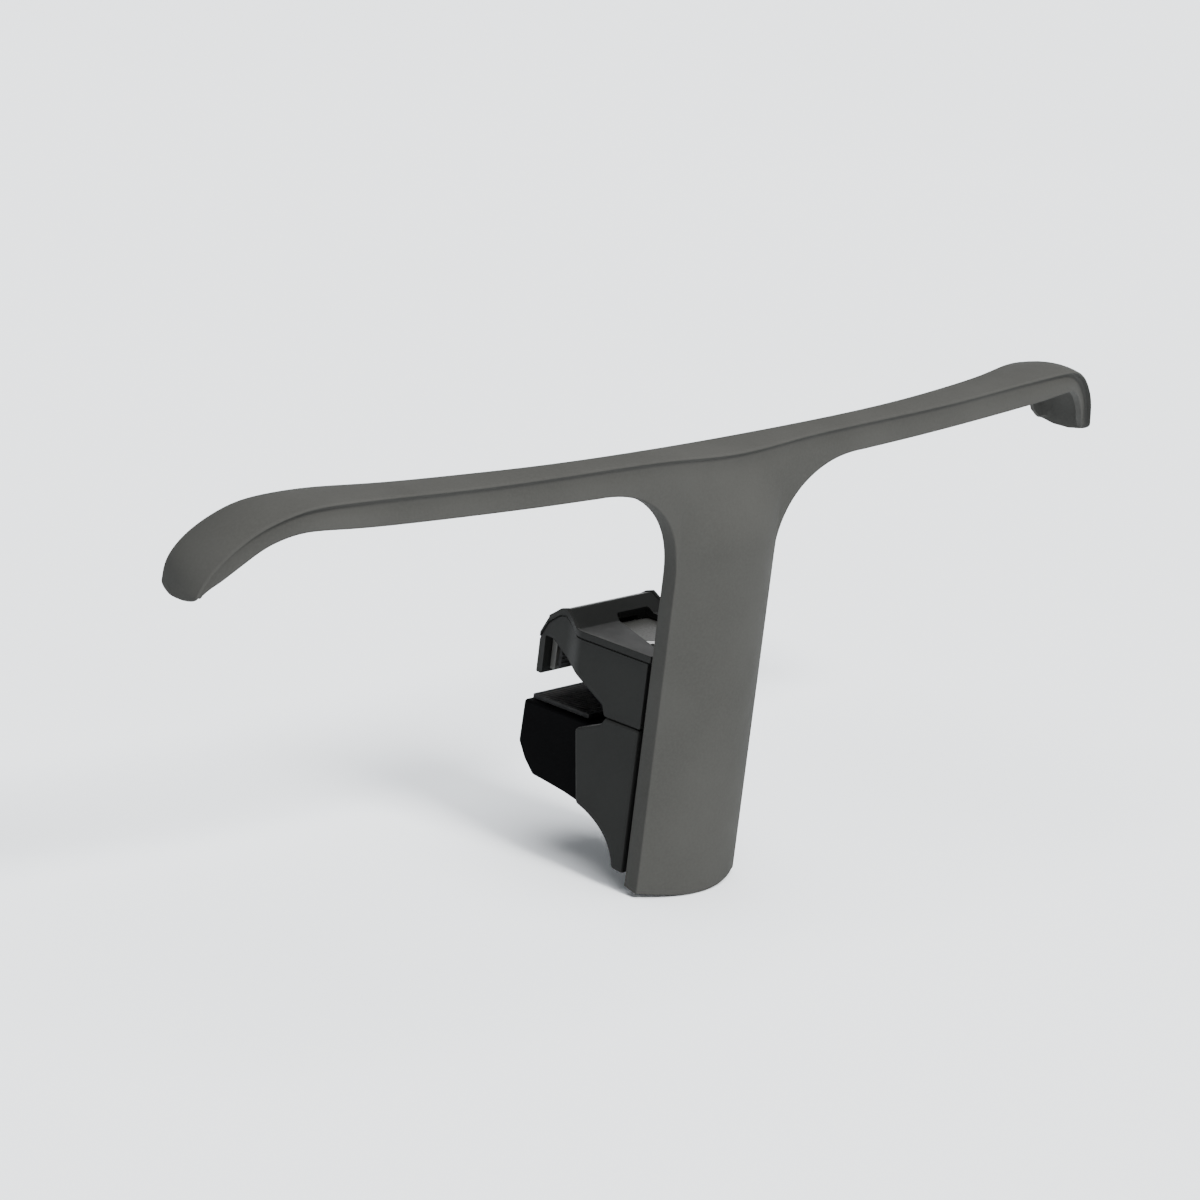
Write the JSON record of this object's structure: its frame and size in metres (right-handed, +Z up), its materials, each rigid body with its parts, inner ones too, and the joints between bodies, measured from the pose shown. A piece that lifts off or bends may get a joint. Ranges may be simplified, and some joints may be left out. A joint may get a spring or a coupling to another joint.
{
  "type": "chair back coat hanger",
  "caption": "T-shaped jacket hanger with drooping shoulder arms on a stem, and a screw clamp that grips the top rail of an office chair's back.",
  "frame": {"origin": "middle of the hook's flat pad, where it rests on top of the chair's back rail", "axes": "+X to the right seen from behind the chair, +Y towards the seat, +Z up along the stem"},
  "size_m": [0.4318, 0.068, 0.1492],
  "materials": {
    "hanger_plastic": "fine textured warm grey moulding",
    "shroud_plastic": "near-black textured moulding",
    "jaw_plastic": "black glass-filled moulding",
    "rubber": "matte black",
    "steel": "zinc plated",
    "core_steel": "dark grey powder coat",
    "brass": "knurled"
  },
  "bodies": {
    "bracket": {"hanger_frame": "hanger_plastic", "stem_front_cover": "hanger_plastic", "bracket_upper": "shroud_plastic", "bracket_lower": "shroud_plastic", "steel_core": "core_steel", "hook_top_pad": "rubber", "saddle_pad": "rubber", "nose_pad": "rubber", "stem_insert_1": "brass", "stem_insert_2": "brass", "stem_insert_3": "brass", "stem_insert_4": "brass", "stem_screw_1": "steel", "stem_screw_2": "steel", "stem_screw_3": "steel", "stem_screw_4": "steel", "cover_screw_lower": "steel", "cover_screw_upper": "steel", "shroud_screw_lower_left": "steel", "shroud_screw_lower_right": "steel", "shroud_screw_upper_left": "steel", "shroud_screw_upper_right": "steel"},
    "jaw": {"clamp_jaw": "jaw_plastic", "jaw_pad": "rubber", "clamp_nut_left": "steel", "clamp_nut_right": "steel"},
    "left_screw": {"clamp_screw_left": "steel", "screw_collar_left": "steel"},
    "right_screw": {"clamp_screw_right": "steel", "screw_collar_right": "steel"}
  },
  "joints": [
    {"name": "left_screw_turn", "type": "hinge", "parent": "bracket", "child": "left_screw", "pos_m": [-0.0065, -0.0284, 0.0037], "axis": [0, 0, 1], "range_deg": [0, 4500]},
    {"name": "right_screw_turn", "type": "hinge", "parent": "bracket", "child": "right_screw", "pos_m": [0.0065, -0.0284, 0.0037], "axis": [0, 0, 1], "range_deg": [0, 4500]},
    {"name": "jaw_slide", "type": "slide", "parent": "bracket", "child": "jaw", "axis": [0, 0, -1], "range_m": [0, 0.01]}
  ],
  "couplings": [
    {"joint": "left_screw_turn", "follows": "jaw_slide", "rad_per_m": 7854},
    {"joint": "right_screw_turn", "follows": "jaw_slide", "rad_per_m": 7854}
  ]
}
